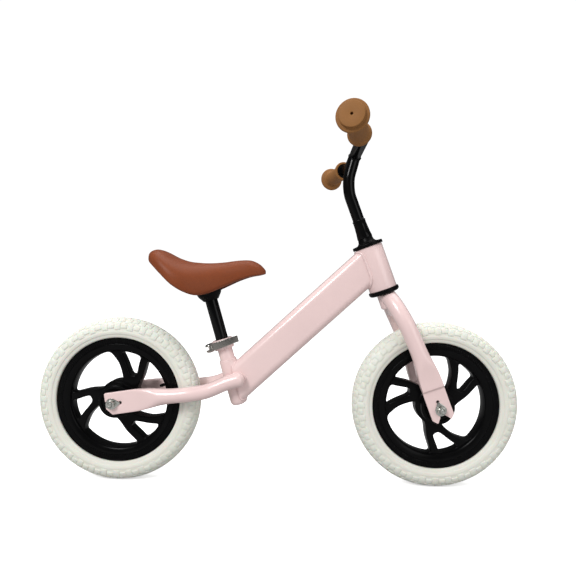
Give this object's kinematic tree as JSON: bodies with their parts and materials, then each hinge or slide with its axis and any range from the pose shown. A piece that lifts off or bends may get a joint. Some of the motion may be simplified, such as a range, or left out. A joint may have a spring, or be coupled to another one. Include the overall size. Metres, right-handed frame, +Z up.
{
  "type": "balance bike",
  "caption": "Child's balance bike with an oval welded frame, bent-stem handlebar, moulded forked-spoke wheels with solid foam tyres and a height-adjustable saddle.",
  "frame": {"origin": "on the ground, midway between the two axles, in the bike's middle plane", "axes": "+X forward, +Y to the rider's left, +Z up"},
  "size_m": [0.85, 0.4078, 0.6064],
  "materials": {
    "frame_paint": "glossy",
    "black_paint": "glossy",
    "black_plastic": "satin",
    "tyre_foam": "matte",
    "saddle_skin": "satin",
    "grip_rubber": "matte",
    "plated_steel": "satin"
  },
  "bodies": {
    "frame": {"head_tube": "frame_paint", "down_tube": "frame_paint", "seat_tube": "frame_paint", "seat_sleeve": "frame_paint", "chainstay_right": "frame_paint", "chainstay_left": "frame_paint", "seat_clamp": "frame_paint", "clamp_skewer": "plated_steel", "clamp_nut": "plated_steel", "cam_pin": "plated_steel", "headset_cup_upper": "black_plastic", "headset_bearing_upper": "plated_steel", "headset_cup_lower": "black_plastic", "headset_bearing_lower": "plated_steel", "rear_axle": "plated_steel", "rear_spacer_right": "plated_steel", "rear_spacer_left": "plated_steel", "rear_washer_right": "plated_steel", "rear_washer_left": "plated_steel", "rear_nut_right": "plated_steel", "rear_nut_left": "plated_steel"},
    "steering": {"steerer_tube": "plated_steel", "fork_crown": "frame_paint", "fork_leg_right": "frame_paint", "fork_leg_left": "frame_paint", "crown_race": "plated_steel", "headset_cap": "black_plastic", "quill_tube": "black_paint", "handlebar_stem": "black_paint", "crossbar": "black_paint", "grip_right": "grip_rubber", "grip_left": "grip_rubber", "expander_wedge": "plated_steel", "expander_bolt": "plated_steel", "front_axle": "plated_steel", "front_spacer_right": "plated_steel", "front_spacer_left": "plated_steel", "front_washer_right": "plated_steel", "front_washer_left": "plated_steel", "front_nut_right": "plated_steel", "front_nut_left": "plated_steel"},
    "rear_wheel": {"rear_rim": "black_plastic", "rear_tyre": "tyre_foam", "rear_bearing_right": "plated_steel", "rear_bearing_left": "plated_steel", "rear_lock_plug": "black_plastic"},
    "front_wheel": {"front_rim": "black_plastic", "front_tyre": "tyre_foam", "front_bearing_right": "plated_steel", "front_bearing_left": "plated_steel", "front_lock_plug": "black_plastic"},
    "seat": {"seatpost": "black_paint", "saddle_base": "black_plastic", "saddle_cover": "saddle_skin", "saddle_screw": "plated_steel"},
    "lever": {"clamp_lever": "plated_steel"}
  },
  "joints": [
    {"name": "steering_turn", "type": "hinge", "parent": "frame", "child": "steering", "pos_m": [0.17397, 0, 0.38432], "axis": [-0.3502, 0, 0.9367], "continuous": true},
    {"name": "front_wheel_spin", "type": "hinge", "parent": "steering", "child": "front_wheel", "pos_m": [0.28, 0, 0.145], "axis": [0, 1, 0], "continuous": true},
    {"name": "rear_wheel_spin", "type": "hinge", "parent": "frame", "child": "rear_wheel", "pos_m": [-0.28, 0, 0.145], "axis": [0, 1, 0], "continuous": true},
    {"name": "saddle_height", "type": "slide", "parent": "frame", "child": "seat", "axis": [-0.279, 0, 0.9603], "range_m": [-0.045, 0.015]},
    {"name": "clamp_lever_turn", "type": "hinge", "parent": "frame", "child": "lever", "pos_m": [-0.11636, -0.0165, 0.23967], "axis": [0.279, 0, -0.9603], "range_deg": [0, 150]}
  ]
}
